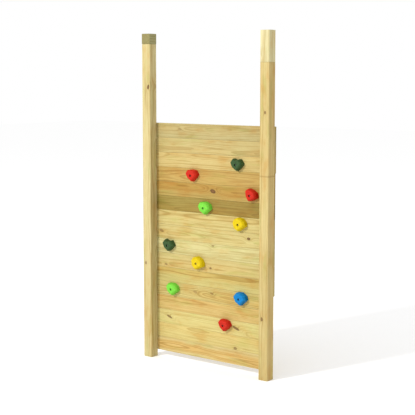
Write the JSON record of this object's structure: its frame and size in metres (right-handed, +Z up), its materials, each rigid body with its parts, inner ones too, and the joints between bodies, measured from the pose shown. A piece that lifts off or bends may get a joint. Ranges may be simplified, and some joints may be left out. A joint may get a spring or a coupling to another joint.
{
  "type": "rock climbing wall",
  "caption": "Timber play climbing wall: horizontal boards screwed to the backs of square posts, with coloured moulded holds bolted through the boards.",
  "frame": {"origin": "on the ground, under the middle of the wall's overall box", "axes": "+Z up, -Y is the climber's side with the holds, +X to the right as the climber faces the wall"},
  "size_m": [1.055, 0.0904, 2.25],
  "materials": {
    "post_timber": "planed, pressure-treated",
    "left_head_timber": "sawn end grain, pressure-treated",
    "right_head_timber": "planed, pressure-treated",
    "pale_board": "planed, pressure-treated",
    "warm_board": "planed, pressure-treated",
    "brown_board": "planed, pressure-treated",
    "dark_green_resin": "moulded, fine grit",
    "red_resin": "moulded, fine grit",
    "lime_resin": "moulded, fine grit",
    "yellow_resin": "moulded, fine grit",
    "blue_resin": "moulded, fine grit",
    "zinc_steel": "zinc plated"
  },
  "bodies": {
    "root": {"left_post": "post_timber", "right_post": "post_timber", "left_post_head": "left_head_timber", "right_post_head": "right_head_timber", "plank_01": "pale_board", "plank_02": "pale_board", "plank_03": "pale_board", "plank_04": "warm_board", "plank_05": "warm_board", "plank_06": "brown_board", "plank_07": "pale_board", "plank_08": "pale_board", "plank_09": "pale_board", "plank_10": "pale_board", "plank_11": "warm_board", "plank_12": "warm_board", "plank_13": "warm_board", "plank_14": "pale_board", "plank_15": "pale_board", "plank_16": "warm_board", "hold_green_upper": "dark_green_resin", "hold_red_upper": "red_resin", "hold_red_side": "red_resin", "hold_lime_upper": "lime_resin", "hold_yellow_upper": "yellow_resin", "hold_green_lower": "dark_green_resin", "hold_yellow_lower": "yellow_resin", "hold_lime_lower": "lime_resin", "hold_blue": "blue_resin", "hold_red_lower": "red_resin", "hold_bolt_green_upper": "zinc_steel", "hold_bolt_red_upper": "zinc_steel", "hold_bolt_red_side": "zinc_steel", "hold_bolt_lime_upper": "zinc_steel", "hold_bolt_yellow_upper": "zinc_steel", "hold_bolt_green_lower": "zinc_steel", "hold_bolt_yellow_lower": "zinc_steel", "hold_bolt_lime_lower": "zinc_steel", "hold_bolt_blue": "zinc_steel", "hold_bolt_red_lower": "zinc_steel", "t_nut_green_upper": "zinc_steel", "t_nut_red_upper": "zinc_steel", "t_nut_red_side": "zinc_steel", "t_nut_lime_upper": "zinc_steel", "t_nut_yellow_upper": "zinc_steel", "t_nut_green_lower": "zinc_steel", "t_nut_yellow_lower": "zinc_steel", "t_nut_lime_lower": "zinc_steel", "t_nut_blue": "zinc_steel", "t_nut_red_lower": "zinc_steel"}
  },
  "joints": []
}
